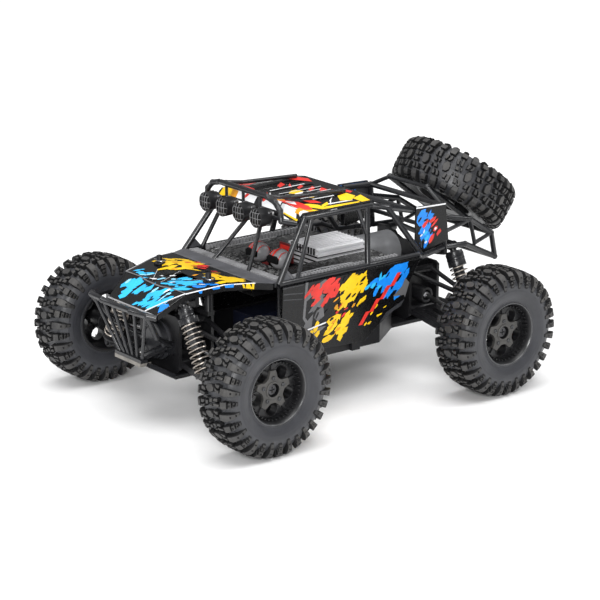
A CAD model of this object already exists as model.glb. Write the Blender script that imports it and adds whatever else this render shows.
import math
import random

import bmesh
import bpy
from mathutils import Matrix, Vector
from mathutils.geometry import tessellate_polygon


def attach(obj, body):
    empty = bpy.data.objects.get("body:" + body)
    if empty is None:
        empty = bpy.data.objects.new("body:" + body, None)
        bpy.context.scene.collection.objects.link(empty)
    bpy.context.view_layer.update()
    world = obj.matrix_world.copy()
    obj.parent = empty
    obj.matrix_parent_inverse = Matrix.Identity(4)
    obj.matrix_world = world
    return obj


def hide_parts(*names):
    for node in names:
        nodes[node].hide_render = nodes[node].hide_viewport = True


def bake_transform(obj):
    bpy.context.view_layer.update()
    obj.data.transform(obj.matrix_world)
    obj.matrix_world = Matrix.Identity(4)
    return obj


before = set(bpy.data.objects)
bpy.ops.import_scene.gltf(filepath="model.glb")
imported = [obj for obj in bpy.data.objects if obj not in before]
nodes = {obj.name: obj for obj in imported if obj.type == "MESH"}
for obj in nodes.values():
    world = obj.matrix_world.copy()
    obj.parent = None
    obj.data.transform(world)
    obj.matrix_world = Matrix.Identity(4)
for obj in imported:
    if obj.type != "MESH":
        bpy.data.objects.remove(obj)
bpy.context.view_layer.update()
rng = random.Random(7)

# Lengths below are millimetres.  Pieces are drawn from the mid-wheelbase point, 23.6 mm ahead
# of the middle of the whole car.
MM = 0.001
MID = Matrix.Translation((0, -23.6 * MM, 0))
CORNERS = [(end, side, f"{'front' if end < 0 else 'rear'}_{'left' if side > 0 else 'right'}")
           for end in (-1, 1) for side in (1, -1)]
AXLE, HUB_X, HUB_Z = 109.5, 105.75, 49.0


# ---------------------------------------------------------------- materials

def shade(name, color, rough=0.5, metal=0.0, spread=0.25, grain=900.0, bump=0.15, depth=0.00012,
          dust=None, dust_amount=0.0, spec=0.5):
    """Procedural material: colour and roughness vary with noise, fine grain gives the bump."""
    m = bpy.data.materials.new(name)
    m.use_nodes = True
    nt = m.node_tree
    bsdf = nt.nodes["Principled BSDF"]
    where = nt.nodes.new("ShaderNodeTexCoord").outputs["Object"]

    def noise(scale, detail=3):
        n = nt.nodes.new("ShaderNodeTexNoise")
        n.inputs["Scale"].default_value = scale
        n.inputs["Detail"].default_value = detail
        nt.links.new(where, n.inputs["Vector"])
        return n.outputs["Fac"]

    ramp = nt.nodes.new("ShaderNodeValToRGB")
    ramp.color_ramp.elements[0].position = 0.3
    ramp.color_ramp.elements[1].position = 0.7
    ramp.color_ramp.elements[0].color = [c * (1 - spread) for c in color] + [1]
    ramp.color_ramp.elements[1].color = [min(1, c * (1 + spread)) for c in color] + [1]
    nt.links.new(noise(90, 4), ramp.inputs["Fac"])
    out = ramp.outputs["Color"]
    if dust:
        mix = nt.nodes.new("ShaderNodeMix")
        mix.data_type = "RGBA"
        mask = nt.nodes.new("ShaderNodeMapRange")
        mask.inputs["From Min"].default_value = 0.42
        mask.inputs["From Max"].default_value = 0.72
        mask.inputs["To Max"].default_value = dust_amount
        nt.links.new(noise(45, 5), mask.inputs["Value"])
        nt.links.new(mask.outputs["Result"], mix.inputs["Factor"])
        nt.links.new(out, mix.inputs["A"])
        mix.inputs["B"].default_value = list(dust) + [1]
        out = mix.outputs["Result"]
    nt.links.new(out, bsdf.inputs["Base Color"])
    vary = nt.nodes.new("ShaderNodeMapRange")
    vary.inputs["To Min"].default_value = max(0.04, rough * 0.8)
    vary.inputs["To Max"].default_value = min(1, rough * 1.25)
    nt.links.new(noise(160), vary.inputs["Value"])
    nt.links.new(vary.outputs["Result"], bsdf.inputs["Roughness"])
    b = nt.nodes.new("ShaderNodeBump")
    b.inputs["Strength"].default_value = bump
    b.inputs["Distance"].default_value = depth
    nt.links.new(noise(grain, 2), b.inputs["Height"])
    nt.links.new(b.outputs["Normal"], bsdf.inputs["Normal"])
    bsdf.inputs["Metallic"].default_value = metal
    bsdf.inputs["Specular IOR Level"].default_value = spec
    return m


BLACK = shade("moulded_black", (0.009, 0.009, 0.0102), 0.4, grain=1400, bump=0.25, spec=0.35)
DARK = shade("deep_black", (0.004, 0.004, 0.0045), 0.6, grain=1400, bump=0.2, spec=0.2)
CAGE = shade("cage_black", (0.011, 0.0115, 0.0135), 0.28, grain=1600, bump=0.2, spec=0.55)
LEAF = shade("print_black", (0.004, 0.004, 0.0045), 0.26, grain=2000, bump=0.08, spec=0.3)
RIM = shade("rim_black", (0.009, 0.009, 0.01), 0.33, grain=1500, bump=0.2, spec=0.4)
LIP = shade("rim_lip", (0.035, 0.036, 0.039), 0.25, grain=1500, bump=0.1, spec=0.7)
HUB = shade("rim_hub_plate", (0.06, 0.058, 0.055), 0.5, grain=1500, bump=0.2, spec=0.4)
TYRE = shade("tyre_rubber", (0.034, 0.033, 0.033), 0.55, spread=0.3, grain=700, bump=0.5,
             depth=0.0002, dust=(0.07, 0.065, 0.058), dust_amount=0.5, spec=0.5)
GROOVE = shade("tyre_groove", (0.038, 0.039, 0.044), 0.42, grain=700, bump=0.3, spec=0.5)
WALL = shade("tyre_sidewall", (0.028, 0.029, 0.034), 0.42, spread=0.2, grain=600, bump=0.2, spec=0.5)
EDGE = shade("tyre_lug_sides", (0.009, 0.009, 0.0095), 0.6, grain=700, bump=0.3, spec=0.3)
NICKEL = shade("spring_nickel", (0.46, 0.415, 0.37), 0.36, 1.0, 0.15, grain=1200, bump=0.1)
STEEL = shade("turned_steel", (0.4, 0.4, 0.41), 0.3, 1.0, 0.15, grain=900, bump=0.15)
SCREW = shade("screw_steel", (0.33, 0.33, 0.34), 0.32, 1.0, 0.2, grain=900, bump=0.15)
ALLOY = shade("cast_fins", (0.76, 0.76, 0.78), 0.45, 0.1, 0.08, grain=700, bump=0.3)
CAN = shade("motor_can", (0.17, 0.173, 0.18), 0.4, 0.3, 0.15, grain=900, bump=0.2)
GREY = shade("light_grey_plastic", (0.3, 0.3, 0.31), 0.38, grain=1300, bump=0.2)
RED = shade("print_red", (0.72, 0.035, 0.025), 0.3, spread=0.15, grain=2200, bump=0.06, spec=0.35)
MAROON = shade("seat_red", (0.16, 0.012, 0.012), 0.45, spread=0.3)
CYAN = shade("print_cyan", (0.03, 0.47, 0.86), 0.26, spread=0.12, grain=2200, bump=0.06, spec=0.35)
BLUE = shade("print_blue", (0.012, 0.25, 0.86), 0.26, spread=0.12, grain=2200, bump=0.06, spec=0.35)
YELLOW = shade("print_yellow", (0.95, 0.58, 0.008), 0.28, spread=0.12, grain=2200, bump=0.06, spec=0.35)
AMBER = shade("print_amber", (0.72, 0.3, 0.01), 0.3, spread=0.2, grain=2200, bump=0.06, spec=0.35)
WHITE = shade("print_white", (0.82, 0.83, 0.85), 0.26, spread=0.05, grain=2200, bump=0.06, spec=0.35)
MIST = shade("print_grey", (0.13, 0.13, 0.135), 0.3, spread=0.12, grain=2200, bump=0.06, spec=0.35)
SLATE = shade("print_slate", (0.035, 0.036, 0.04), 0.3, spread=0.12, grain=2200, bump=0.06, spec=0.35)
SKY = shade("print_pale_blue", (0.3, 0.68, 0.9), 0.26, spread=0.1, grain=2200, bump=0.06, spec=0.35)
PACK = shade("battery_wrap", (0.006, 0.008, 0.02), 0.4, spread=0.2)
CLOTH = shade("deck_weave", (0.007, 0.007, 0.0075), 0.17, spread=0.3, grain=1100, bump=0.8, depth=0.0004,
              spec=1.0)
LENS = shade("lamp_lens", (0.002, 0.002, 0.0025), 0.3, spread=0.1, grain=500, bump=0.2, spec=0.2)
WIRE = shade("lamp_wire", (0.13, 0.13, 0.135), 0.35, grain=1500, bump=0.1, spec=0.6)
BOLT = shade("blackened_steel", (0.07, 0.07, 0.074), 0.35, 0.8, 0.2, grain=900, bump=0.15)
FIN = shade("quarter_lining", (0.05, 0.15, 0.42), 0.35, spread=0.2, grain=1800, bump=0.1)
WORN = shade("scuffed_edge", (0.16, 0.15, 0.135), 0.55, spread=0.4, grain=500, bump=0.4)
BEAM = shade("cowl_grey", (0.085, 0.086, 0.095), 0.42, grain=1400, bump=0.2, spec=0.4)


# ---------------------------------------------------------------- mesh tools

def piece(name, verts, faces, mat, body=None, at=None, marks=None, smooth=False, bevel=0.0,
          segments=2, slot=None):
    """One object from millimetre vertices; marks gives each face's material slot."""
    mats = mat if isinstance(mat, (list, tuple)) else [mat]
    me = bpy.data.meshes.new(name)
    me.from_pydata([Vector(v) * MM for v in verts], [], faces)
    for m in mats:
        me.materials.append(m)
    if marks:
        me.polygons.foreach_set("material_index", marks)
    me.update()
    ob = bpy.data.objects.new(name, me)
    bpy.context.scene.collection.objects.link(ob)
    ob.matrix_world = at if at is not None else MID
    finish_edges(ob, bevel, segments, smooth=smooth)
    if body:
        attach(ob, body)
    return ob


def finish_edges(ob, bevel, segments=2, weld=False, smooth=False):
    """Modifiers that merge close vertices and round the edges, and smooth shading."""
    if weld:
        w = ob.modifiers.new("weld", "WELD")
        w.merge_threshold = 0.00002
    if bevel:
        b = ob.modifiers.new("bevel", "BEVEL")
        b.width = bevel * MM
        b.segments = segments
        b.limit_method = "ANGLE"
        b.angle_limit = math.radians(40)
    if smooth:
        bpy.context.view_layer.update()
        for p in ob.data.polygons:
            p.use_smooth = True
        ob.data.set_sharp_from_angle(angle=math.radians(38))


class Shape:
    """Collects vertices, faces and marks of several solids into one piece."""

    def __init__(self):
        self.v, self.f, self.m = [], [], []

    def add(self, verts, faces, mark=0, at=None):
        n = len(self.v)
        self.v += [tuple(at @ Vector(p)) if at is not None else tuple(p) for p in verts]
        self.f += [[i + n for i in f] for f in faces]
        self.m += [mark] * len(faces)
        return self

    def box(self, a, b, mark=0, at=None):
        (x0, y0, z0), (x1, y1, z1) = a, b
        v = [(x, y, z) for z in (z0, z1) for y in (y0, y1) for x in (x0, x1)]
        return self.add(v, [(0, 2, 3, 1), (4, 5, 7, 6), (0, 1, 5, 4), (2, 6, 7, 3), (0, 4, 6, 2),
                            (1, 3, 7, 5)], mark, at)

    def lathe(self, profile, at=None, sides=48, mark=0, closed=False):
        """profile [(along, radius)] turned round X of `at`."""
        v = [(x, r * math.cos(a), r * math.sin(a)) for x, r in profile
             for a in (2 * math.pi * i / sides for i in range(sides))]
        rows = len(profile)
        f = [(k * sides + i, k * sides + (i + 1) % sides, ((k + 1) % rows) * sides + (i + 1) % sides,
              ((k + 1) % rows) * sides + i)
             for k in range(rows if closed else rows - 1) for i in range(sides)]
        if not closed:
            if profile[0][1] > 0.01:
                f.append(tuple(range(sides))[::-1])
            if profile[-1][1] > 0.01:
                f.append(tuple((rows - 1) * sides + i for i in range(sides)))
        return self.add(v, f, mark, at)

    def prism(self, loops, z0, z1, mark=0, at=None):
        """Flat plate with holes: loops[0] is the outline, the rest are holes, [x, y]."""
        flat = [p for loop in loops for p in loop]
        tris = tessellate_polygon([[Vector((p[0], p[1], 0)) for p in loop] for loop in loops])
        n = len(flat)
        v = [(p[0], p[1], z0) for p in flat] + [(p[0], p[1], z1) for p in flat]
        f = []
        for t in tris:
            a, b, c = (Vector(flat[i]) for i in t)
            up = (b - a).cross(c - a) > 0
            t = t if up else t[::-1]
            f.append(tuple(i + n for i in t))
            f.append(tuple(t[::-1]))
        start = 0
        for loop in loops:
            m = len(loop)
            area = sum(loop[i][0] * loop[(i + 1) % m][1] - loop[(i + 1) % m][0] * loop[i][1]
                       for i in range(m))
            outer = loop is loops[0]
            for i in range(m):
                a, b = start + i, start + (i + 1) % m
                q = (a, b, b + n, a + n)
                f.append(q if (area > 0) == outer else q[::-1])
            start += m
        return self.add(v, f, mark, at)

    def tube(self, points, r, sides=12, mark=0):
        """Round bar swept through points, with mitred corners."""
        pts = [Vector(p) for p in points]
        rings = []
        side = None
        for i, p in enumerate(pts):
            t0 = (pts[i] - pts[i - 1]).normalized() if i else None
            t1 = (pts[i + 1] - pts[i]).normalized() if i < len(pts) - 1 else None
            t = ((t0 or t1) + (t1 or t0)).normalized()
            if side is None:
                ref = Vector((0, 0, 1)) if abs(t.z) < 0.9 else Vector((0, 1, 0))
                side = t.cross(ref).normalized()
            side = (side - t * side.dot(t)).normalized()
            up = side.cross(t).normalized()
            ease = 1 / max(0.5, t.dot(t1 or t0))
            wide = 1 + (ease - 1) * 0.5
            angles = [2 * math.pi * k / sides for k in range(sides)]
            rings.append([p + (side * math.cos(a) + up * math.sin(a)) * r * wide for a in angles])
        v = [tuple(q) for ring in rings for q in ring]
        f = [(k * sides + i, (k + 1) * sides + i, (k + 1) * sides + (i + 1) % sides,
              k * sides + (i + 1) % sides) for k in range(len(rings) - 1) for i in range(sides)]
        f.append(tuple(range(sides)))
        f.append(tuple(((len(rings) - 1) * sides + i) for i in range(sides))[::-1])
        return self.add(v, f, mark)

    def piece(self, name, mat, body, at=None, **kw):
        return piece(name, self.v, self.f, mat, body, at, marks=self.m, **kw)


def circle(cx, cy, r, n=24, start=0.0, squeeze=1.0):
    return [(cx + r * math.cos(start + 2 * math.pi * i / n),
             cy + r * squeeze * math.sin(start + 2 * math.pi * i / n)) for i in range(n)]


def lerp_table(table, p):
    for (p0, *a), (p1, *b) in zip(table, table[1:]):
        if p <= p1:
            t = (p - p0) / (p1 - p0)
            return [x + (y - x) * t for x, y in zip(a, b)]
    return list(table[-1][1:])


def aim(p, q):
    """Matrix that puts X of a lathe along p -> q, in millimetres."""
    d = (Vector(q) - Vector(p)).normalized()
    return Matrix.Translation(Vector(p)) @ d.to_track_quat("X", "Z").to_matrix().to_4x4()


# ---------------------------------------------------------------- wheels

# Distance p over the tread from its middle: outer a, r of a lug; inner a, r of the carcass.
SKIN = [(0, 0, 49.0, 0, 45.2), (8, 8, 48.9, 8, 45.1), (12, 12, 48.5, 11.4, 44.6),
        (14.5, 14.3, 47.8, 13.0, 43.8), (16.5, 16.3, 46.3, 14.2, 42.8), (18.5, 17.7, 44.2, 15.3, 41.4),
        (21, 18.45, 41.5, 16.4, 39.6), (24, 18.4, 38.4, 17.3, 37.6), (27, 18.3, 35.5, 17.5, 34.8)]
PITCHES = 32
LUG_FIT = 24 / PITCHES    # the lugs below are drawn for 24 pitches


def lug(shape, sections, angle, sign):
    """Block of tread through sections (p, t0, t1); t is the distance round the tyre."""
    v = []
    for i, (p, t0, t1) in enumerate(sections):
        end = 0.35 if i == 0 else -0.35 if i == len(sections) - 1 else 0
        ao, ro, ai, ri = lerp_table(SKIN, abs(p))
        s = 1 if p >= 0 else -1
        for t in (t0, t1):
            pinch = 0.45 if t == t0 else -0.45
            for a, r, tt in ((ai, ri - 0.6, t), (ao, ro, t + pinch)):
                th = angle + tt * LUG_FIT / 49.0
                v.append(((s * a + (end if r == ro else 0)) * sign, r * math.sin(th), r * math.cos(th)))
    n = len(sections)
    tops = [(4 * i + 1, 4 * i + 3, 4 * i + 7, 4 * i + 5) for i in range(n - 1)]
    sides = [q for b in range(0, 4 * n - 4, 4)
             for q in ((b, b + 1, b + 5, b + 4), (b + 3, b + 2, b + 6, b + 7))]
    sides += [(0, 2, 3, 1), (4 * n - 4, 4 * n - 3, 4 * n - 1, 4 * n - 2)]
    faces = tops + sides
    shape.add(v, [q[::-1] for q in faces] if sign < 0 else faces)
    shape.m[-len(sides):] = [2] * len(sides)


def tyre_mesh():
    """Marks: 0 lug tops, 1 carcass between the lugs, 2 lug sides, 3 sidewall."""
    s = Shape()
    side = [(lerp_table(SKIN, p)[2], lerp_table(SKIN, p)[3]) for p in
            (8, 11, 13, 14.5, 16, 17.3, 18.5, 20, 22, 24, 27)]
    wall = [(17.6, 33.5), (17.3, 31.2), (16.7, 29.0), (16.0, 27.0), (15.4, 25.9),
            (15.15, 25.2), (15.35, 24.7), (15.2, 24.2), (14.6, 23.4)]
    half = side + wall
    profile = [(-a, r) for a, r in reversed(half)] + [(0, 46.0)] + half
    s.lathe(profile + [(13.0, 24.2), (-13.0, 24.2)], sides=144, closed=True)
    for i, face in enumerate(s.f):
        s.m[i] = 1 if min(math.hypot(s.v[k][1], s.v[k][2]) for k in face) > 34.6 else 3
    step = 2 * math.pi / PITCHES
    for k in range(PITCHES):
        odd = k % 2
        for sign in (1, -1):
            th = (k + (0.5 if sign < 0 else 0)) * step
            if odd:
                lug(s, [(10.7, -3.3, 3.9), (14.5, -4.1, 4.2), (16.8, -4.1, 4.1), (18.6, -3.6, 3.6),
                        (21.0, -3.2, 3.2), (25.8, -2.5, 2.5)], th, sign)
            else:
                lug(s, [(11.9, -3.6, 3.6), (14.5, -4.0, 4.0), (16.8, -4.0, 4.0)], th, sign)
                lug(s, [(17.3, -3.7, 3.7), (19.6, -3.5, 3.5)], th, sign)
                lug(s, [(20.2, -3.4, 3.4), (22.3, -3.1, 3.1)], th, sign)
                lug(s, [(23.0, -3.0, 3.0), (24.6, -2.8, 2.8)], th, sign)
            skew = 1.5 if odd else -0.6
            lug(s, [(4.9, -3.9 + skew, -0.5 + skew), (7.6, -4.4, -0.7),
                    (10.0 + 1.2 * (1 - odd), -4.2, -0.9)], th + 0.12 * step, sign)
            lug(s, [(4.9, 0.5 + skew, 3.4 + skew), (7.2, 0.3, 4.3), (9.6, 0.2, 4.4)],
                th + 0.12 * step, sign)
        th = k * step
        if odd:
            lug(s, [(-4.2, -1.8, 2.6), (-1.2, -4.4, 3.9), (1.4, -4.0, 4.4), (4.2, -2.4, 1.9)], th, 1)
        else:
            lug(s, [(-4.0, -4.2, 0.6), (-0.6, -3.4, 1.2)], th, 1)
            lug(s, [(0.5, -1.2, 3.6), (4.0, -0.2, 4.4)], th, 1)
            lug(s, [(-4.0, 1.7, 4.4), (-0.9, 2.3, 4.2)], th, 1)
            lug(s, [(0.9, -4.3, -2.2), (4.0, -4.4, -1.4)], th, 1)
    return s


def tyre_pits(at, name, body):
    """Small square sockets on the shoulder lugs."""
    s = Shape()
    for k in range(PITCHES):
        for sign in (1, -1):
            th = (k + (0.5 if sign < 0 else 0)) * 2 * math.pi / PITCHES
            for p in ((18.3, 22.4) if k % 2 else (18.0, 21.2)):
                ao, ro, ai, ri = lerp_table(SKIN, p)
                out = Vector((ao - ai, 0, ro - ri)).normalized()
                turn = Matrix.Rotation(-th, 4, "X")
                basis = Matrix.Translation((ao + 0.02 * out.x, 0, ro + 0.02 * out.z)) @ Vector(
                    (0, 0, 1)).rotation_difference(out).to_matrix().to_4x4()
                flip = Matrix.Scale(-1, 4, (1, 0, 0)) if sign < 0 else Matrix.Identity(4)
                s.box((-0.72, -0.72, -0.25), (0.72, 0.72, 0.05), 0, flip @ turn @ basis)
    return s.piece(name, DARK, body, at, slot="tyre_rubber")


def rim_mesh():
    """Marks: 0 satin black, 1 lip and screw rims, 2 hub plate."""
    s = Shape()
    s.lathe([(-15.6, 24.5), (-15.9, 24.0), (-15.9, 22.6), (-15.0, 21.6), (-6.0, 20.6), (5.0, 20.3),
             (8.0, 20.5), (13.2, 22.0), (14.6, 22.7), (15.3, 23.2), (15.8, 23.6), (15.9, 24.1),
             (15.6, 24.55), (15.0, 24.4), (14.4, 22.7), (0, 22.4), (-14.4, 22.7), (-15.0, 24.4)],
            sides=96, closed=True)
    for i, face in enumerate(s.f):
        xs = [s.v[k][0] for k in face]
        rs = [math.hypot(s.v[k][1], s.v[k][2]) for k in face]
        if min(xs) > 14.9 and min(rs) > 23.1:
            s.m[i] = 1
    upright = Matrix(((0, 0, 1, 0), (1, 0, 0, 0), (0, 1, 0, 0), (0, 0, 0, 1)))
    spokes = [math.pi / 2 + 2 * math.pi * i / 5 for i in range(5)]
    windows = [circle(14.2 * math.cos(a + math.pi / 5), 14.2 * math.sin(a + math.pi / 5), 5.1, 28)
               for a in spokes]
    s.prism([circle(0, 0, 20.6, 72)] + windows + [circle(0, 0, 5.0, 32)], 4.6, 7.0, 0, upright)
    # Raised collars round the windows, and the five-cornered hub plate.
    for w, a in zip(windows, spokes):
        c = (14.2 * math.cos(a + math.pi / 5), 14.2 * math.sin(a + math.pi / 5))
        s.prism([circle(*c, 5.6, 28), circle(*c, 5.05, 28)], 0.5, 7.4, 0, upright)
    star = []
    for a in spokes:
        for off, r in ((-0.16, 14.6), (0.16, 14.6)):
            star.append((r * math.cos(a + off), r * math.sin(a + off)))
        for t in (0.25, 0.5, 0.75):
            b = a + 0.16 + t * (2 * math.pi / 5 - 0.32)
            r = 9.3 + 2.4 * (2 * abs(t - 0.5)) ** 2
            star.append((r * math.cos(b), r * math.sin(b)))
    s.prism([star, circle(0, 0, 5.0, 32)], 6.6, 9.4, 2, upright)
    s.prism([circle(0, 0, 6.3, 32), circle(0, 0, 5.0, 32)], 9.0, 10.0, 2, upright)
    for a in spokes:
        at = Matrix.Translation((0, 8.9 * math.cos(a), 8.9 * math.sin(a)))
        s.lathe([(9.2, 1.5), (10.1, 1.45), (10.4, 1.2), (10.4, 0.75), (9.8, 0.6)], at, 16, 1)
        # Web from each spoke out to the barrel.
        s.box((3.5, -1.0, 14), (8.2, 1.0, 21), 0, Matrix.Rotation(-(a - math.pi / 2), 4, "X").inverted())
    # Recess that the axle's screw sits in.
    s.lathe([(9.2, 5.4), (9.2, 5.0), (5.8, 4.9), (5.8, 2.5), (5.2, 2.5), (5.2, 5.4)], None, 32, 0, True)
    s.lathe([(-15, 8.4), (-6.2, 8.4), (-5.6, 7.8), (4.8, 7.6)], None, 32, 0)
    for k in range(40):
        s.box((8.2, -0.35, 20.2), (12.8, 0.35, 21.3), 0, Matrix.Rotation(2 * math.pi * k / 40, 4, "X"))
    return s


tyre_shape, rim_shape = tyre_mesh(), rim_mesh()


def wheel(name, at, body, tyre_node, rim_node):
    """Tyre, its pits and rim at one wheel; the spare wheel is one CAD node."""
    t = tyre_shape.piece(f"{name}_tread", [TYRE, GROOVE, EDGE, WALL], body, at,
                         slot="tyre_rubber", bevel=0.28, segments=1)
    tyre_pits(at, f"{name}_pits", body)
    r = rim_shape.piece(f"{name}_wheel", [RIM, LIP, HUB], body, at, slot="rim_black",
                        smooth=True, bevel=0.22)
    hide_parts(tyre_node)
    if rim_node != tyre_node:
        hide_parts(rim_node)


for end, side, c in CORNERS:
    at = MID @ Matrix.Translation(Vector((side * HUB_X, end * AXLE, HUB_Z)) * MM)
    if side < 0:
        at = at @ Matrix.Rotation(math.pi, 4, "Z")
    wheel(c, at, f"{c}_wheel", f"{c}_tyre", f"{c}_rim")
spare_at = (MID @ Matrix.Translation(Vector((0, 160, 134.5)) * MM)
            @ Matrix.Rotation(math.radians(-36), 4, "X") @ Matrix.Rotation(math.radians(-90), 4, "Y"))
wheel("spare", spare_at, "chassis", "spare_wheel", "spare_wheel")


# ---------------------------------------------------------------- printed skins

def hood_z(x, y):
    return lerp_table([(-149, 89.5), (-128, 103.6), (-96, 107.6), (-64.6, 104.8)], y)[0]


def roof_z(x, y):
    return lerp_table([(0, 153.3), (30.69, 153.3), (49.5, 150.1)], abs(x))[0] + min(0, y + 32)


def print_layers(name, layers, lay, bends, mats, body="chassis", slot="panel_print"):
    """Thin printed shapes on a skin: each layer is (mat index, [u, v] outline).  lay(u, v, h)
    gives the point h above the skin; bends are (axis, value) lines where the skin folds."""
    bm = bmesh.new()
    for rank, (mark, outline) in enumerate(layers):
        vs = [bm.verts.new((u, v, 0)) for u, v in outline]
        tris = tessellate_polygon([[Vector((u, v, 0)) for u, v in outline]])
        fresh = []
        for t in tris:
            a, b, c = (Vector(outline[i]) for i in t)
            if abs((b - a).cross(c - a)) < 1e-6:
                continue
            t = t if (b - a).cross(c - a) > 0 else t[::-1]
            face = bm.faces.new([vs[i] for i in t])
            face.material_index = mark
            fresh.append(face)
        for axis, value in bends:
            geom = set(fresh)
            for f in fresh:
                geom.update(f.edges)
                geom.update(f.verts)
            co = (value, 0, 0) if axis == 0 else (0, value, 0)
            no = (1, 0, 0) if axis == 0 else (0, 1, 0)
            got = bmesh.ops.bisect_plane(bm, geom=list(geom), plane_co=co, plane_no=no, dist=1e-5)
            fresh = [g for g in set(got["geom"]) if isinstance(g, bmesh.types.BMFace)]
        for v in {v for f in fresh for v in f.verts}:
            v.co.z = 0.06 + 0.003 * rank
    bm.verts.ensure_lookup_table()
    verts = [lay(v.co.x, v.co.y, v.co.z) for v in bm.verts]
    bm.verts.index_update()
    faces = [[v.index for v in f.verts] for f in bm.faces]
    marks = [f.material_index for f in bm.faces]
    bm.free()
    return piece(name, verts, faces, mats, body, None, marks=marks, slot=slot)


def stroke(points, w, taper=False):
    """Outline of a brush stroke along points."""
    pts = [Vector(p) for p in points]
    left, right = [], []
    for i, p in enumerate(pts):
        d = (pts[min(i + 1, len(pts) - 1)] - pts[max(i - 1, 0)]).normalized()
        n = Vector((-d.y, d.x)) * w / 2
        if taper and i in (0, len(pts) - 1):
            n = n * 0.15
        left.append(tuple(p + n))
        right.append(tuple(p - n))
    return left + right[::-1]


def arc_points(points, steps=4):
    """Smooth curve through points (Catmull-Rom)."""
    pts = [Vector(p) for p in points]
    out = []
    for i in range(len(pts) - 1):
        a, b, c, d = (pts[max(i - 1, 0)], pts[i], pts[i + 1], pts[min(i + 2, len(pts) - 1)])
        for k in range(steps):
            t = k / steps
            out.append(0.5 * ((2 * b) + (c - a) * t + (2 * a - 5 * b + 4 * c - d) * t * t
                              + (3 * b - a - 3 * c + d) * t ** 3))
    return [tuple(p) for p in out] + [tuple(pts[-1])]


# Colours of the print.  The print lists below name them by one letter: blacK, Cyan, Yellow, Red,
# White, Blue, Amber, Grey, Slate and Pale blue.
PRINT = [LEAF, CYAN, YELLOW, RED, WHITE, BLUE, AMBER, MIST, SLATE, SKY]
K, C, Y, R, W, B, A, G, S, P = range(len(PRINT))


def inside(p, loop):
    """True where p lies inside the outline."""
    hit = False
    for (ax, ay), (bx, by) in zip(loop, loop[1:] + loop[:1]):
        if (ay > p[1]) != (by > p[1]) and p[0] < ax + (p[1] - ay) * (bx - ax) / (by - ay):
            hit = not hit
    return hit


def shards(zones, area, seed):
    """Plain random splinters inside the outline `area`.  A zone is its colour, its middle u, v, its
    half width and half height, the number of splinters and their half length."""
    draw = random.Random(seed)
    layers = []
    for mark, u, v, wide, high, count, size in zones:
        left = count
        # Each zone takes the same number of draws, however soon it is full.
        for _ in range(40 * count):
            turn, reach = draw.uniform(0, 2 * math.pi), math.sqrt(draw.random())
            cu, cv = u + wide * reach * math.cos(turn), v + high * reach * math.sin(turn)
            lean = math.radians(draw.uniform(15, 75))
            long, thin = size * draw.uniform(0.7, 1.4), size * draw.uniform(0.25, 0.6)
            n = draw.choice((5, 6))
            loop = []
            for k in range(n):
                t = 2 * math.pi * (k + draw.uniform(-0.3, 0.3)) / n
                a, b = long * math.cos(t), thin * math.sin(t)
                loop.append((cu + a * math.cos(lean) - b * math.sin(lean),
                             cv + a * math.sin(lean) + b * math.cos(lean)))
            if left and all(inside(q, area) for q in loop):
                layers.append((mark, loop))
                left -= 1
    return layers


# Hood: its left edge from nose to windscreen, and the area that the print keeps to.
outline = [(16, -149.2), (30.2, -147.4), (37.4, -128), (41.2, -113), (45.0, -100), (51, -79), (57, -65)]
hood_area = [(x - 1.2, max(y, -148.4)) for x, y in outline]
hood_area += [(-x, y) for x, y in hood_area[::-1]]
hood = shards([
    (C, -17, -139, 11, 8, 12, 6.5), (C, 12, -137, 16, 8, 14, 5.5), (C, 19, -117, 13, 10, 16, 5.5),
    (C, -24, -122, 8, 5, 4, 4), (P, 0, -130, 28, 16, 9, 3), (B, 35, -112, 6, 14, 8, 4.5),
    (Y, -21, -94, 22, 12, 26, 6.5), (Y, 32, -90, 16, 10, 18, 6), (A, 0, -92, 40, 12, 9, 3),
    (R, -5, -82, 24, 5, 12, 3.6), (K, 2, -108, 36, 36, 26, 2.8), (W, 8, -116, 26, 16, 7, 2.4),
], hood_area, 3)
hood += [
    (W, stroke([(-20, -112), (-5, -127)], 1.8, True)),
    (W, stroke([(-4, -103), (4, -126)], 1.8, True)),
    (W, stroke([(30, -101), (14, -112)], 1.4, True)),
    (G, stroke([(-37, -128.4), (-20, -128.0), (-8, -129.4), (8, -129.6), (20, -128.2),
                (36, -127.8)], 0.9)),
]


def hood_lay(u, v, h):
    return (u, v, hood_z(u, v) + h)


print_layers("hood_graphics", hood, hood_lay, [(1, -128), (1, -96)], PRINT, slot="hood_print")

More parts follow.
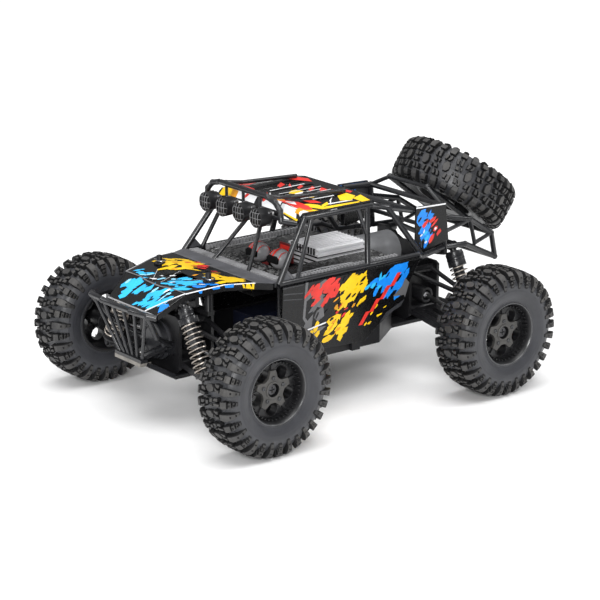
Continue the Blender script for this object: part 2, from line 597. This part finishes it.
# Rolled edge of the hood with its pale bead.
for s in (1, -1):
    lip = Shape()
    top = [(s * x, y, hood_z(x, y) + 0.05) for x, y in outline[1:]]
    low = [(s * (x + 0.4), y, hood_z(x, y) - 4.6) for x, y in outline[1:]]
    lip.tube(top[1:-1] + [(s * 51.8, -77, hood_z(0, -77) + 0.05)], 0.45, 8, 1)
    n = len(top)
    lip.add(top + low, [(i, i + 1, n + i + 1, n + i) if s < 0 else (i, n + i, n + i + 1, i + 1)
                        for i in range(n - 1)], 0)
    # Print that wraps down over the edge: (rear y, front y, drop, mark).
    for y1, y0, drop, mark in ((-78, -87, 4.0, 2), (-79.6, -81.4, 2.6, 0), (-84, -85.6, 3.2, 0),
                               (-93, -100, 2.4, 3), (-103, -109, 1.6, 3), (-116, -119, 2.0, 3)):
        rim_x = [(y, x) for x, y in outline]
        a, b = lerp_table(rim_x, y0)[0], lerp_table(rim_x, y1)[0]
        out = 0.75 if mark else 0.85
        lip.add([(s * (a + out), y0, hood_z(a, y0)), (s * (b + out), y1, hood_z(b, y1)),
                 (s * (b + out + 0.3), y1 - 0.6, hood_z(b, y1) - drop),
                 (s * (a + out + 0.3), y0 + 0.8, hood_z(a, y0) - drop * 0.8)],
                [(0, 1, 2, 3) if s > 0 else (3, 2, 1, 0)], mark)
    lip.piece(f"hood_edge_{'left' if s > 0 else 'right'}",
              [LEAF, WHITE if s > 0 else GREY, YELLOW, BLUE],
              "chassis", slot="hood_print", smooth=True)

# Beads on the nose's front edge, and the folds at its two corners.
front_edge = Shape()
front_edge.tube([(x, -148.9, 89.4) for x in (-30, -15, 0, 15, 30)], 0.6, 8)
front_edge.tube([(24, -139, 96.3), (33.5, -139, 95.6)], 0.5, 8)
front_edge.piece("hood_nose_bead", GREY, "chassis", slot="hood_print", smooth=True)
nose_cut = Shape()
left_fold = ((36.6, -129), (30, -147.6), (16.5, -148.6), (25, -139.5))
right_fold = ((36.6, -129), (30, -147.6), (18.5, -148.6), (27, -141))
fold_bead = ((37, -128), (31, -133.5), (25, -139.5), (16.5, -148.6))
fold_print = ((24.4, -140.8), (30.8, -138.4), (33.2, -139.6), (31.4, -144.6), (29.4, -146.6))
nose_cut.add([hood_lay(x, y, 0.12) for x, y in left_fold], [(0, 3, 2, 1)])
nose_cut.add([hood_lay(-x, y, 0.12) for x, y in right_fold], [(0, 1, 2, 3)])
nose_cut.tube([hood_lay(x, y, 0.3) for x, y in fold_bead], 0.45, 8, 1)
nose_cut.add([hood_lay(x, y, 0.22) for x, y in fold_print], [(0, 4, 3, 2, 1)], 2)
nose_cut.piece("hood_nose_folds", [LEAF, WHITE, BLUE], "chassis", slot="hood_print")

# Scuffed pale lip along the bumper's nose.
scuff = Shape()
scuff.box((-16.6, -153.25, 48.4), (16.6, -152.9, 51.2), 0)
scuff.box((16.3, -152.8, 48.4), (16.7, -144.2, 51.0), 0)
scuff.piece("nose_scuff", WORN, "chassis", slot="cage_black", bevel=0.15)

# Hood pins: post tip, washer and ring clip.
pins = Shape()
for x in (-30.5, 30.5):
    base = Vector((x, -103, hood_z(x, -103)))
    upward = aim(base, base + Vector((0, 0, 1)))
    pins.lathe([(0, 4.2), (0.9, 4.2), (1.2, 3.8), (1.2, 2.2)], upward, 24)
    pins.lathe([(0, 2.1), (5.2, 2.1), (6.4, 1.5), (6.8, 0.6)], upward, 20)
    ring = [base + Vector((3.2 * math.cos(a) + 2.4, 3.2 * math.sin(a), 3.0)) for a in
            (2 * math.pi * i / 20 for i in range(21))]
    ends = [base + Vector((-5, -1.2, 2.7)), base + Vector((-5, 1.2, 2.7))]
    pins.tube(ends[:1] + ring[10:] + ring[1:11] + ends[1:], 0.5, 8, 1)
pins.piece("hood_pins", [BLACK, SCREW], "chassis", slot="moulded_black", smooth=True)

# Doors: u is y, v is z; the skins lean by LEAN from the belt rail at z 104.
door_area = [(-59, 103.2), (-57, 78), (-31, 47.4), (24, 45), (34, 54.6), (47, 63.6), (58.6, 72.4),
             (61.4, 85.6), (65.4, 93.6), (70, 103.2)]
side_art = [
    (S, [(-60, 101.5), (-41, 101.5), (-41, 100.6), (-60, 100.6)]),
    (S, [(-59, 97), (-41, 94.8), (-41, 93.8), (-59, 95.8)]),
    (S, [(-58.5, 92.5), (-41, 90), (-41, 89.2), (-58.5, 91.6)]),
    (G, stroke([(-38, 102), (-37.4, 74), (-24, 56)], 2.4)),
] + shards([
    (G, -28, 78, 8, 20, 8, 8), (R, -23, 92, 16, 9, 20, 5), (Y, 6, 86, 14, 14, 30, 6),
    (Y, -6, 63, 12, 13, 15, 5), (Y, -26, 61, 5, 4, 3, 4), (A, 0, 74, 18, 20, 8, 2.6),
    (B, 46, 89, 20, 12, 22, 6), (C, 28, 90, 9, 8, 5, 3), (Y, 30, 62, 14, 10, 8, 2.2),
    (K, 8, 82, 42, 20, 26, 2.6), (R, -3, 73, 10, 6, 4, 2)], door_area, 5) + [
    (G, [(47.4, 75.4), (58.6, 74.6), (59.8, 72.6), (62.4, 84), (57.6, 88.6), (55.6, 82.4)]),
    (S, [(36.4, 55.6), (42.6, 63.4), (59.4, 71), (56.8, 66), (49.6, 63.2)]),
    (W, stroke([(-34, 63.8), (-16, 66.6)], 1.2)),
]
# Four plain slanted bars along the door.
for u in (16, 25, 34, 43):
    foot = 0.98 * u + 42
    side_art.append((R, [(u, foot), (u + 4, foot), (u + 10, foot + 10), (u + 6, foot + 10)]))

LEAN = math.radians(8.4)


def side_lay(s):
    def lay(u, v, h):
        return (s * (62.8 + (v - 104) * math.tan(LEAN) + h), u, v)
    return lay


# Rear quarter skins, upright, with their linings inside.
quarter_area = [(79.9, 136), (109.2, 135), (112.4, 107), (88.4, 102.6), (79.9, 108.8)]
quarter_art = shards([
    (B, 88, 121, 9, 15, 26, 5.5), (C, 86, 110, 7, 6, 4, 3), (K, 91, 121, 14, 13, 10, 2.4),
    (R, 96, 119, 9, 9, 7, 3.6), (W, 92, 117, 10, 10, 4, 2)], quarter_area, 9)
quarter_art.append((W, stroke([(79.6, 136.2), (109.6, 135.2)], 1.1)))


def quarter_lay(s, inner=False):
    x = 45.55 if inner else 47.0
    return lambda u, v, h: (s * (x + (-h if inner else h)), u, v)


lining = [(0, [(80.6, 135.8), (109.6, 135.0), (110.6, 124.4), (80.6, 125.4)]),
          (1, [(98, 135.2), (109.6, 135.0), (110.6, 124.4), (97, 124.8)]),
          (2, circle(92, 130.6, 3.4, 14, 0, 0.7)), (0, circle(92, 130.6, 2.4, 14, 0, 0.7))]
for s in (1, -1):
    tag = "left" if s > 0 else "right"
    print_layers(f"door_graphics_{tag}", side_art, side_lay(s), [], PRINT)
    print_layers(f"quarter_graphics_{tag}", quarter_art, quarter_lay(s), [], PRINT)
    print_layers(f"quarter_lining_{tag}", lining, quarter_lay(s, True), [], [FIN, SLATE, LEAF])

# Roof: plain patches and strokes, left side first, then the right side and the patches between.
roof_art = [
    (R, [(20, -30.4), (30, -31.6), (42, -31.6), (44, -28.6), (40, -24), (42.6, -20.6), (36, -19.6),
         (31, -21.4), (25, -24)]),
    (W, arc_points([(24, -28.6), (28, -31), (32.4, -29), (31, -25.4), (26.6, -24.6),
                    (24, -28.6)], 2)[:-1]),
    (A, [(38, -24.6), (43, -19.6), (48.6, -20), (49.2, -31.6), (43.6, -31.6), (42.6, -27)]),
    (Y, [(44, -23), (49.3, -17), (49.3, -31.6), (47, -31.6)]),
    (Y, [(45.6, -8), (49.3, -10), (49.3, 22), (47.4, 23), (46.6, 12)]),
    (W, stroke([(42.6, -4), (43.4, 19.6)], 1.5)),
    (Y, [(39, -0.6), (43.4, -3), (46, -10), (42.6, -9)]),
    (W, stroke([(30.6, -8), (30.9, 12)], 1.7)),
    (Y, [(14.4, 7), (20, 6), (27.4, -4.6), (24, -9), (17.4, -3.4)]),
    (Y, [(0.6, 0), (7.6, 2.2), (11.8, -7.6), (6, -10.8), (1.2, -4.6)]),
    (W, [(8, 1), (12, -2), (13, -9), (9.4, -8)]),
    (R, [(-1, 17), (4, 16), (11, 6.4), (6.4, 7.4)]),
    (R, [(6.6, 20.4), (14, 19.6), (22, 11), (14, 12.6), (9, 16)]),
    (R, [(16, 22.6), (21.4, 23.4), (31, 22), (29, 18), (22, 17.6)]),
    (R, [(-9.6, 13), (-4.6, 11.6), (0.4, 3.6), (-3.6, 4.6)]),
    (R, [(-24.6, 5.6), (-17, 4), (-12, -5), (-18, -3)]),
    (R, stroke([(-18, 9), (-12, 4.4), (-7, 2)], 2.0, True)),
    (W, stroke([(-10.4, 17), (-9.4, 0), (-8.6, -17)], 1.4)),
    (W, stroke([(9.4, 17), (10.2, 3)], 1.0)),
    (R, stroke([(-6, -22), (2, -27), (4, -30.5)], 1.4, True)),
    (W, stroke([(-4, -20.6), (0, -23.6), (2, -27)], 1.2, True)),
    (Y, [(-49, 14), (-44, 18), (-40, 8), (-45, 2)]),
    (R, [(-48, -8), (-40, -6), (-36, -16), (-46, -20)]),
    (A, [(-44, -22), (-38, -24), (-42, -31), (-48, -31)]),
    (G, stroke([(-30.6, -26), (-30.6, 28)], 0.9)),
]
roof_art += [
    (A, [(8, -31.6), (20, -31.6), (24, -27), (17, -24.5), (12, -27)]),
    (W, [(33, -31.6), (44, -31.6), (46, -26), (40, -22.6), (36, -26)]),
    (Y, [(36, -21), (43, -19.4), (49.2, -13), (49.2, -8), (41, -11), (37, -16)]),
    (R, [(30, -17), (36, -14), (39, -6), (33, -8)]),
    (W, stroke([(24.4, -14), (25.2, 14)], 1.3)),
    (W, stroke([(15.2, -18), (15.4, 22)], 0.9)),
    (W, stroke([(3.4, -18), (3.4, 22)], 0.9)),
    (Y, [(33, 14), (41, 10), (44, 18), (38, 27), (31, 24)]),
    (R, [(24, 24), (32, 27), (30, 31), (20, 30)]),
    (Y, [(41, 22), (49.2, 24), (49.2, 32), (38, 32)]),
    (W, stroke([(34, 8), (38, 3), (45, -2)], 1.2, True)),
    (R, [(-40, -28), (-28, -30), (-14, -27), (-20, -23), (-34, -22)]),
    (R, [(-30, 16), (-22, 20), (-12, 26), (-22, 30), (-34, 25)]),
    (W, stroke([(-40, -10), (-34, 2), (-36, 16)], 1.2, True)),
]
# Front flap, from the far side to the near side, and the near corner above it.
roof_art += [
    (Y, [(-47, -31), (-35, -31), (-31, -37.3), (-46, -37.3)]),
    (A, [(-35, -31), (-27, -31), (-24, -37.3), (-31, -37.3)]),
    (W, [(-27, -31), (-4, -31), (-2, -37.3), (-24, -37.3)]),
    (R, [(-15, -31), (-11, -31), (-15, -37), (-17.4, -36.4)]),
    (W, [(4, -30.6), (24, -30.6), (27, -37.3), (6, -37.3)]),
    (R, [(0, -30.6), (11, -30.6), (6, -35)]),
    (R, [(18, -29.6), (33, -31.6), (40, -30.4), (45, -26), (47.4, -21), (40, -19), (34, -21.4),
         (26, -24)]),
    (W, [(24, -28.4), (28.6, -23.4), (35, -26.2), (30.4, -29.6)]),
    (W, [(26.4, -32.4), (41, -32), (45.4, -34.6), (47.4, -36.6), (34, -37.3), (27, -37.3)]),
    (A, [(40, -27.6), (46, -26), (49.2, -22), (49.2, -28), (47, -33.6), (42.6, -34)]),
    (W, [(45.4, -28), (49.2, -26), (49.2, -34.4), (46.4, -33)]),
    (Y, [(33, -36.6), (49.2, -36.2), (49.2, -37.3), (33, -37.3)]),
]
roof_art = [(m, [(max(-49.2, min(49.2, u)), v) for u, v in o]) for m, o in roof_art]
# Front flap of the roof skin, falling at 45 degrees.
flap = Shape()
edge = [(-49.3, 149.9), (-30.6, 153.1), (30.6, 153.1), (49.3, 149.9)]
flap.add([(x, -31.9 - d, z - d - t) for t in (0, 1.2) for d in (0, 5.4) for x, z in edge],
         [(k, k + 1, k + 5, k + 4) for k in range(3)]
         + [(k + 8, k + 12, k + 13, k + 9) for k in range(3)]
         + [(4, 5, 13, 12), (5, 6, 14, 13), (6, 7, 15, 14), (0, 8, 9, 1), (1, 9, 10, 2), (2, 10, 11, 3),
            (0, 4, 12, 8), (3, 11, 15, 7)], 0)
flap.piece("roof_flap", BLACK, "chassis", slot="cage_black")
print_layers("roof_graphics", roof_art, lambda u, v, h: (u, v, roof_z(u, v) + h),
             [(0, -30.69), (0, 30.69), (1, -32)], PRINT, slot="roof_print")


# ---------------------------------------------------------------- materials of the carried-over nodes

CAD_LOOKS = {"chassis_tub": BLACK, "gearbox_cases": BLACK, "shock_towers": BLACK, "front_bumper": CAGE,
             "cabin_cage": CAGE, "rear_cage": CAGE, "hood_panel": LEAF, "roof_panel": LEAF,
             "side_panels": LEAF, "light_bar": CAGE, "cockpit_tray": BLACK, "motor": ALLOY,
             "electronics": PACK, "spare_wheel": TYRE, "centre_shaft": STEEL, "steering_rack": BLACK,
             "tie_rod_left": BLACK, "tie_rod_right": BLACK}
for name, ob in nodes.items():
    look = CAD_LOOKS.get(name)
    if look is None:
        kind = name.split("_", 2)[2]
        look = {"stub_axle": BOLT, "half_shaft": STEEL, "shock_rod": BLACK, "shock_body": CAGE,
                "spring": NICKEL, "rim": RIM, "tyre": TYRE}.get(kind, BLACK)
    if not ob.material_slots:
        ob.data.materials.append(look)
    for s in ob.material_slots:
        s.material = look
    if not ob.hide_render and "spring" not in name:
        finish_edges(ob, 0.3, 2, weld=True)


# ---------------------------------------------------------------- lamps and roof

for i, x in enumerate((-31, -10.2, 10.2, 31)):
    y, z = -53, 147.2
    lamp = Shape()
    at = aim((x, y, z), (x, y - 1, z))
    lamp.lathe([(-3, 6.3), (0, 6.9), (6.2, 7.15), (8.0, 7.15), (8.0, 6.4), (7.1, 6.3)], at, 32, 0)
    lamp.lathe([(7.02, 6.45), (7.15, 6.2), (7.5, 3.0), (7.6, 0.01)], at, 32, 1)
    for g in (-4.4, -1.5, 1.5, 4.4):
        h = math.sqrt(6.7 ** 2 - g * g)
        lamp.tube([(x + g, y - 7.8, z - h), (x + g, y - 9.3, z - h * 0.6), (x + g, y - 9.4, z + h * 0.6),
                   (x + g, y - 7.8, z + h)], 0.26, 6, 3)
    for g in (-4.2, 0.2, 4.4):
        h = math.sqrt(6.7 ** 2 - g * g)
        lamp.tube([(x - h, y - 7.8, z + g), (x - h * 0.6, y - 9.4, z + g), (x + h * 0.6, y - 9.4, z + g),
                   (x + h, y - 7.8, z + g)], 0.26, 6, 3)
    for a in (0.6, 2.2, 3.9, 5.4):
        lamp.lathe([(-2.0, 0.9), (1.2, 0.9), (1.6, 0.5)],
                   aim((x + 6.9 * math.cos(a), y + 1, z + 6.9 * math.sin(a)),
                       (x + 6.9 * math.cos(a), y - 1, z + 6.9 * math.sin(a))), 8, 2)
    lamp.piece(f"roof_lamp_{i + 1}", [BLACK, LENS, SCREW, WIRE], "chassis", slot="cage_black",
               smooth=True)


# ---------------------------------------------------------------- cockpit

for i, x in enumerate((13, -13)):
    helmet = Shape()
    at = Matrix.Translation((x, -24, 106.4)) @ Matrix.Scale(0.78, 4)
    shell = [(9.9 * math.cos(t), 10.3 * math.sin(t)) for t in (math.pi * k / 16 for k in range(17))]
    shell = [(a, max(0.01, r)) for a, r in shell]
    helmet.lathe(shell, at @ Matrix.Rotation(math.radians(90), 4, "Y"), 32, 0)
    visor = [(-7.6, -2.2), (7.6, -2.2), (8.2, 2.6), (5.0, 4.8), (-5.0, 4.8), (-8.2, 2.6)]
    helmet.prism([visor], -0.6, 2.0, 2,
                 at @ Matrix.Translation((0, -8.6, 0)) @ Matrix.Rotation(math.radians(90), 4, "X"))
    for w in (-6.2, 0, 6.2):
        r = 10.35 * (1 - abs(w) / 26)
        band = [(w + 1.5 * a, r * math.sin(t), r * math.cos(t)) for a in (-1, 1)
                for t in (math.pi * (k - 6) / 14 for k in range(13))]
        helmet.add(band, [(k, k + 1, k + 14, k + 13) for k in range(12)], 1, at)
    helmet.lathe([(-20, 9.0), (-12, 9.6), (-9, 7.0)],
                 at @ Matrix.Rotation(math.radians(-90), 4, "Y"), 24, 3)
    helmet.piece(f"crew_helmet_{i + 1}", [GREY, RED, DARK, MAROON],
                 "chassis", slot="moulded_black", smooth=True, bevel=0.3)


def deck_z(x):
    return lerp_table([(18.8, 99), (24, 102), (34, 103), (46, 101), (57, 102.5)], abs(x))[0]


def crumpled(name, xs, ys, height, rough=0.5):
    """Glossy woven skin over height(x, y), with small random creases."""
    v, f = [], []
    for j, y in enumerate(ys):
        for i, x in enumerate(xs):
            fold = 0.5 * math.sin(0.9 * x + 0.5 * y) * math.sin(0.35 * y - 0.2 * x)
            crease = fold + rng.uniform(-0.5, 0.5) + 0.35 * ((i + j) % 2)
            v.append((x, y, height(x, y) + 0.65 + rough * crease))
    n = len(xs)
    for j in range(len(ys) - 1):
        for i in range(n - 1):
            f.append((j * n + i, j * n + i + 1, (j + 1) * n + i + 1, (j + 1) * n + i))
    return piece(name, v, f, CLOTH, "chassis", slot="moulded_black")


def steps(a, b, n):
    return [a + (b - a) * i / n for i in range(n + 1)]


crumpled("deck_skin_left", steps(19.4, 52.0, 24), steps(-38, 55, 66), lambda x, y: deck_z(x))
crumpled("deck_skin_right", steps(-52.0, -19.4, 24), steps(-38, 55, 66), lambda x, y: deck_z(x))
crumpled("dash_skin", steps(-52, 52, 74), steps(-52.5, -37, 11),
         lambda x, y: 103.2 + 1.6 * math.cos(x / 16) * (1 - abs(y + 45) / 9), 0.9)

# Cowl under the windscreen: grey plate, row of slanted ribs and the pillars' gussets.
cowl = Shape()
plate = [(-51.4, -76.2, 106.1), (51.4, -76.2, 106.1), (57.2, -64.6, 105.5),
         (57.2, -60.6, 105.5), (-57.2, -60.6, 105.5), (-57.2, -64.6, 105.5)]
cowl.add(plate + [(x, y, z - 0.7) for x, y, z in plate],
         [(0, 1, 2, 3, 4, 5), (11, 10, 9, 8, 7, 6)]
         + [(k, k + 6, (k + 1) % 6 + 6, (k + 1) % 6) for k in range(6)], 1)
cowl.tube([(-56.4, -61.2, 105.4), (56.4, -61.2, 105.4)], 0.35, 8, 3)
cowl.tube([(-50.8, -75.6, 106.0), (50.8, -75.6, 106.0)], 0.35, 8, 3)
cowl.box((-54, -60.2, 103.6), (54, -52.6, 104.2), 0)
for k in range(32):
    x = -53 + 3.3 * k
    v = [(x + a, y, z) for z in (104.1, 106.1)
         for a, y in ((0, -59.8), (1.7, -59.8), (3.2, -53.2), (1.5, -53.2))]
    cowl.add(v, [(0, 3, 2, 1), (4, 5, 6, 7), (0, 1, 5, 4), (1, 2, 6, 5), (2, 3, 7, 6), (3, 0, 4, 7)], 2)
for s in (1, -1):
    for k in range(32):
        y = -43 + 3.1 * k
        cowl.box((s * 53.4 - 1.7, y, 102.3), (s * 53.4 + 1.7, y + 1.6, 106.0), 2)
    cowl.tube([(s * 46, -41, 104.0), (s * 45, -10, 104.4), (s * 46, 18, 104.0)], 0.5, 8, 2)
    corners = [(s * 57.9, -60, 104.0), (s * 57.9, -44.6, 104.4), (s * 57.2, -52.6, 113.0)]
    cowl.add([(x + s * 0.4, y, z) for x, y, z in corners] + [(x - s * 0.6, y, z) for x, y, z in corners],
             [(0, 1, 2), (5, 4, 3), (0, 3, 4, 1), (1, 4, 5, 2), (2, 5, 3, 0)], 1)
    cowl.tube([(s * 58.2, -47.5, 104.8), (s * 57.6, -52.6, 111.0)], 0.6, 8, 3)
cowl.piece("cowl", [BLACK, BEAM, GREY, MIST], "chassis", slot="cage_black")

# Dark gaps between the heat sink's fins, the motor's end ring and its drawn can.
sink = Shape()
motor_z, sink_y, sink_end, can_end = 92.5, 8, 54, 93.8
pitch = 30 / 9    # from fin to fin
for k in range(9):
    x = -14.2 + pitch * k
    sink.box((x + 0.1, sink_y - 0.5, motor_z + 11.4),
             (x + pitch - 1.7, sink_y - 0.05, motor_z + 16.6), 0)
    sink.box((x + 0.25, sink_y - 0.1, motor_z + 13.05),
             (x + pitch - 1.85, sink_end - 0.4, motor_z + 16.1), 0)
for k in range(8):
    z = motor_z - 13.6 + pitch * k
    sink.box((-17.2, sink_y - 0.3, z), (17.2, sink_end - 0.2, z + 1.1), 0)
upright_y = Matrix.Translation((0, 0, motor_z)) @ Matrix.Rotation(math.radians(90), 4, "Z")
sink.lathe([(sink_end - 0.1, 14.7), (sink_end + 4.6, 14.7), (sink_end + 5.2, 14.2),
            (sink_end + 5.2, 10.0)], upright_y, 48, 2)
sink.lathe([(sink_end + 5.0, 14.58), (can_end + 0.1, 14.58), (can_end + 0.4, 14.3), (can_end + 0.4, 5.2),
            (can_end - 0.4, 5.0), (can_end - 0.4, 0.01)], upright_y, 48, 1)
sink.piece("motor_can", [DARK, CAN, GREY], "chassis", slot="motor_metal", smooth=True)
seat = Shape()
seat.box((-8, -8.6, 99), (8, -7.2, 113), 0)
seat.box((-6.4, -9.0, 101), (6.4, -8.5, 111.5), 1)
seat.piece("seat_back", [MAROON, RED], "chassis", slot="moulded_black", bevel=0.5)

# Round ringed cover in front of the front differential.
drum = Shape()
drum.lathe([(0, 15.4), (1.6, 15.4), (2.0, 14.9), (2.0, 12.4), (4.4, 12.2), (4.4, 13.9), (6.2, 13.9),
            (6.8, 13.2), (6.8, 10.4), (6.2, 9.8), (6.2, 0.01)], aim((0, -125, 61), (0, -126, 61)), 48)
drum.piece("front_diff_cover", SLATE, "chassis", slot="moulded_black", smooth=True)


# ---------------------------------------------------------------- springs and shock absorbers

# Tower pin and arm pin (x, z) of the front and the rear shock absorbers.
PINS = {-1: ((32.5, 97), (62, 43.5)), 1: ((36, 97), (62, 43.5))}
for end, side, c in CORNERS:
    (tx, tz), (px, pz) = PINS[end]
    y = end * (AXLE + 17.6)
    top, low = Vector((side * tx, y, tz)), Vector((side * px, y, pz))
    axis = (low - top).normalized()
    length = (low - top).length
    a, b = top + axis * 17.1, top + axis * (length - 6.6)
    u = axis.cross(Vector((0, 1, 0))).normalized()
    w = axis.cross(u)
    turns, per, wire, rad = 10, 28, 0.56, 6.5
    total = turns * per
    pts = []
    for k in range(total + 1):
        t = k / total
        span = (b - a).length - 2 * wire
        run = wire + span * t
        th = 2 * math.pi * t * turns
        pts.append(a + axis * run + (u * math.cos(th) + w * math.sin(th)) * rad)
    coil = Shape()
    coil.tube(pts, wire, 8, 0)
    spring = coil.piece(f"{c}_coil", NICKEL, None, smooth=True, slot="spring_steel")
    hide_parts(f"{c}_spring")
    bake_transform(spring)
    # Smooth cap above the spring, and the knurled ring that sets its length.
    skin_r = 5.0 if end < 0 else 6.7
    sleeve = Shape()
    sleeve.lathe([(5.2, 2.8), (5.6, skin_r - 0.6), (6.4, skin_r + 0.3), (12.0, skin_r + 0.3),
                  (12.4, skin_r)], aim(top, low), 32)
    for k in range(24):
        sleeve.box((12.5, -0.3, 6.6), (17.0, 0.3, 7.15), 0, aim(top, low) @ Matrix.Rotation(
            2 * math.pi * k / 24, 4, "X"))
    sleeve.piece(f"{c}_shock_cap", CAGE, f"{c}_shock_body", slot="moulded_black", smooth=True)


# ---------------------------------------------------------------- camera, floor and light

# The camera was fitted to the ellipses of the wheels and to mirrored points of the body.
SENSOR, LENS_MM = 36, 135.2046
cam = bpy.data.cameras.new("camera")
camera = bpy.data.objects.new("camera", cam)
bpy.context.scene.collection.objects.link(camera)
right = Vector((0.62098596, 0.78380602, 0.00495541))
up = Vector((-0.2280136, 0.1745924, 0.95787645))
back = Vector((0.74992415, -0.59595773, 0.28713786))
turn = Matrix((right, up, back)).transposed().to_4x4()
camera.matrix_world = MID @ Matrix.Translation(Vector((1285.655, -1016.447, 558.424)) * MM) @ turn
cam.sensor_width = SENSOR
cam.lens = LENS_MM
cam.clip_start = 0.01
cam.clip_end = 50
bpy.context.scene.camera = camera

size = 12    # half the floor's width, in metres
floor = bpy.data.meshes.new("floor")
floor.from_pydata([(-size, -size, 0), (size, -size, 0), (size, size, 0), (-size, size, 0)], [],
                  [(0, 1, 2, 3)])
floor.materials.append(shade("studio_floor", (0.9, 0.9, 0.9), 0.55, spread=0.01, grain=40, bump=0.02))
ground = bpy.data.objects.new("floor", floor)
bpy.context.scene.collection.objects.link(ground)

world = bpy.data.worlds.new("studio")
bpy.context.scene.world = world
world.use_nodes = True
wt = world.node_tree
sky = wt.nodes["Background"]
sky.inputs["Strength"].default_value = 1.0
direction = wt.nodes.new("ShaderNodeTexCoord")
split = wt.nodes.new("ShaderNodeSeparateXYZ")
band = wt.nodes.new("ShaderNodeValToRGB")
wt.links.new(direction.outputs["Generated"], split.inputs["Vector"])
wt.links.new(split.outputs["Z"], band.inputs["Fac"])
wt.links.new(band.outputs["Color"], sky.inputs["Color"])
for e, (where, level) in zip([band.color_ramp.elements[0], band.color_ramp.elements[1],
                              band.color_ramp.elements.new(0.35)],
                             ((0.0, 0.12), (0.8, 1.5), (0.35, 0.22))):
    e.position = where
    e.color = (level, level, level * 1.02, 1)


def light(name, spot, target, size, power, size_y=None):
    l = bpy.data.lights.new(name, "AREA")
    l.shape = "RECTANGLE"
    l.size, l.size_y = size, size_y or size
    l.energy = power
    o = bpy.data.objects.new(name, l)
    bpy.context.scene.collection.objects.link(o)
    o.location = spot
    o.rotation_euler = (Vector(target) - Vector(spot)).to_track_quat("-Z", "Y").to_euler()


light("key_front", (1.6, -1.5, 0.95), (0, 0, 0.08), 0.6, 34)
light("fill_left", (-1.0, -1.6, 1.2), (0, 0, 0.08), 0.5, 7)
light("rim_rear", (0.7, 1.6, 1.3), (0, 0.05, 0.08), 0.5, 12)
sun = bpy.data.lights.new("overhead", "SUN")
sun.energy = 1.9
sun.angle = math.radians(50)
sun_at = bpy.data.objects.new("overhead", sun)
sun_at.rotation_euler = (math.radians(8), math.radians(6), 0)
bpy.context.scene.collection.objects.link(sun_at)
scene = bpy.context.scene
scene.view_settings.view_transform = "Standard"
scene.view_settings.exposure = 0.0
